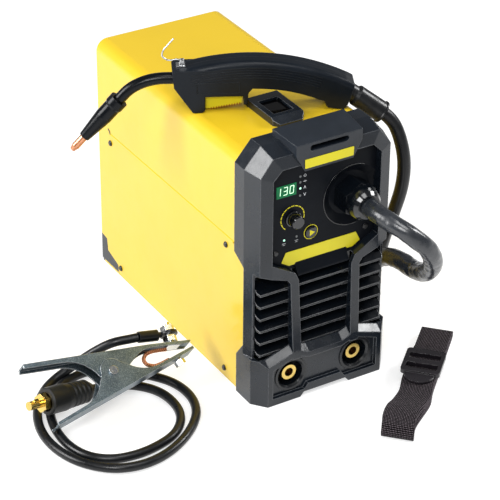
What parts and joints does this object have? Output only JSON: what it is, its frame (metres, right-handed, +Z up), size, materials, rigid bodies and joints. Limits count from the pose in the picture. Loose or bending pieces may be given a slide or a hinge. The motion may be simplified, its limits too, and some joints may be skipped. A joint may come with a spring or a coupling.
{
  "type": "mig welding machine",
  "caption": "Portable MIG welding machine: yellow case, black bezel with panel and louvres, torch on the lid, earth lead with clamp, spool bay with wire feeder, folded strap.",
  "frame": {"origin": "on the floor under the middle of the case, where the base pan stands", "axes": "+Z up, -Y out of the front with the control panel, +X to the machine's right seen from the front"},
  "size_m": [0.5726, 0.5774, 0.3484],
  "materials": {
    "yellow_sheet": "satin",
    "bezel_plastic": "matt",
    "panel_plastic": "matt",
    "zinc_sheet": "satin",
    "black_screw": "satin",
    "display_glass": "gloss",
    "lamp_plastic": "gloss",
    "knob_plastic": "satin",
    "socket_plastic": "satin",
    "nut_gloss": "gloss",
    "socket_brass": "satin",
    "window_glass": "gloss",
    "circuit_board": "satin",
    "rocker_red": "gloss",
    "cast_aluminium": "satin",
    "motor_steel": "satin",
    "roll_steel": "satin",
    "spool_plastic": "satin",
    "torch_plastic": "satin",
    "trigger_yellow": "satin",
    "neck_black": "satin",
    "nozzle_steel": "satin",
    "tip_copper": "satin",
    "hook_steel": "satin",
    "lead_rubber": "satin",
    "sleeve_fabric": "matt",
    "galvanised": "satin",
    "lug_copper": "satin",
    "braid_copper": "satin",
    "webbing": "matt"
  },
  "bodies": {
    "machine": {"base_pan": "yellow_sheet", "front_bezel": "bezel_plastic", "louvre_grille": "bezel_plastic", "control_panel": "panel_plastic", "front_hood": "bezel_plastic", "top_cover": "yellow_sheet", "side_panel_left": "yellow_sheet", "side_panel_right": "yellow_sheet", "rear_panel": "bezel_plastic", "divider_plate": "zinc_sheet", "case_screws": "black_screw", "display_window": "display_glass", "indicator_lamps": "lamp_plastic", "socket_bodies": "socket_plastic", "socket_contacts": "socket_brass", "torch_gland_body": "socket_plastic", "torch_gland_nut": "nut_gloss", "window_frame": "bezel_plastic", "window_pane": "window_glass", "power_board": "circuit_board", "fan_frame": "bezel_plastic", "power_switch_body": "bezel_plastic", "mains_gland": "bezel_plastic", "feed_base": "cast_aluminium", "feed_motor": "motor_steel", "door_hinge_leaves": "black_screw", "torch_handle_left": "torch_plastic", "torch_handle_right": "torch_plastic", "torch_neck": "neck_black", "torch_nozzle": "nozzle_steel", "contact_tip": "tip_copper", "torch_hook_clip": "hook_steel", "torch_boot": "lead_rubber", "torch_lead_sleeve": "sleeve_fabric", "torch_lead_coil": "lead_rubber", "torch_lead_upper": "lead_rubber", "earth_plug_body": "lead_rubber", "earth_plug_pin": "socket_brass", "earth_lead": "lead_rubber", "clamp_upper_arm": "galvanised", "clamp_pivot": "galvanised", "clamp_upper_contact": "socket_brass", "clamp_lug": "lug_copper", "clamp_braid": "braid_copper", "strap_webbing": "webbing", "strap_buckle": "bezel_plastic"},
    "amp_knob": {"amp_knob": "knob_plastic"},
    "select_button": {"select_button": "knob_plastic"},
    "torch_trigger": {"torch_trigger": "trigger_yellow"},
    "torch_hook": {"torch_hook": "hook_steel"},
    "spool_door": {"spool_door": "yellow_sheet", "door_latch": "bezel_plastic"},
    "wire_spool": {"wire_spool": "spool_plastic"},
    "drive_roll": {"drive_roll": "roll_steel"},
    "pressure_arm": {"pressure_arm": "bezel_plastic"},
    "pressure_roll": {"pressure_roll": "roll_steel"},
    "fan_rotor": {"fan_rotor": "bezel_plastic"},
    "power_rocker": {"power_rocker": "rocker_red"},
    "clamp_jaw": {"clamp_lower_arm": "galvanised", "clamp_lower_contact": "socket_brass"}
  },
  "joints": [
    {"name": "knob_turn", "type": "hinge", "parent": "machine", "child": "amp_knob", "pos_m": [-0.034, -0.1555, 0.205], "axis": [0, -1, 0], "range_deg": [-135, 135]},
    {"name": "button_press", "type": "slide", "parent": "machine", "child": "select_button", "axis": [0, 1, 0], "range_m": [0, 0.0012], "stiffness_N_per_m": 600, "springref_m": -0.0008},
    {"name": "trigger_pull", "type": "hinge", "parent": "machine", "child": "torch_trigger", "pos_m": [-0.04991, -0.02406, 0.291], "axis": [-0.4504, -0.8928, 0], "range_deg": [0, 5], "stiffness_Nm_per_rad": 1.2, "springref_deg": -5.73},
    {"name": "hook_swing", "type": "hinge", "parent": "machine", "child": "torch_hook", "pos_m": [-0.07491, -0.01144, 0.323], "axis": [0.4504, 0.8928, 0], "range_deg": [0, 60]},
    {"name": "door_swing", "type": "hinge", "parent": "machine", "child": "spool_door", "pos_m": [0.0813, 0.0275, 0.1496], "axis": [0, 1, 0], "range_deg": [0, 100]},
    {"name": "spool_spin", "type": "hinge", "parent": "machine", "child": "wire_spool", "pos_m": [0.036, 0.088, 0.2], "axis": [1, 0, 0], "continuous": true},
    {"name": "drive_spin", "type": "hinge", "parent": "machine", "child": "drive_roll", "pos_m": [0.035, -0.02, 0.1985], "axis": [1, 0, 0], "continuous": true},
    {"name": "arm_lift", "type": "hinge", "parent": "machine", "child": "pressure_arm", "pos_m": [0.035, -0.04, 0.233], "axis": [1, 0, 0], "range_deg": [0, 12], "stiffness_Nm_per_rad": 1, "springref_deg": -17.19},
    {"name": "pressure_spin", "type": "hinge", "parent": "pressure_arm", "child": "pressure_roll", "pos_m": [0.035, -0.02, 0.2205], "axis": [1, 0, 0], "continuous": true},
    {"name": "fan_spin", "type": "hinge", "parent": "machine", "child": "fan_rotor", "pos_m": [-0.022, 0.152, 0.078], "axis": [0, 1, 0], "continuous": true},
    {"name": "rocker_tip", "type": "hinge", "parent": "machine", "child": "power_rocker", "pos_m": [-0.038, 0.166, 0.228], "axis": [1, 0, 0], "range_deg": [0, 18]},
    {"name": "clamp_open", "type": "hinge", "parent": "machine", "child": "clamp_jaw", "pos_m": [-0.20096, -0.08295, 0.03547], "axis": [-0.0744, 0.5851, -0.8075], "range_deg": [0, 12], "stiffness_Nm_per_rad": 2, "springref_deg": -17.19}
  ]
}
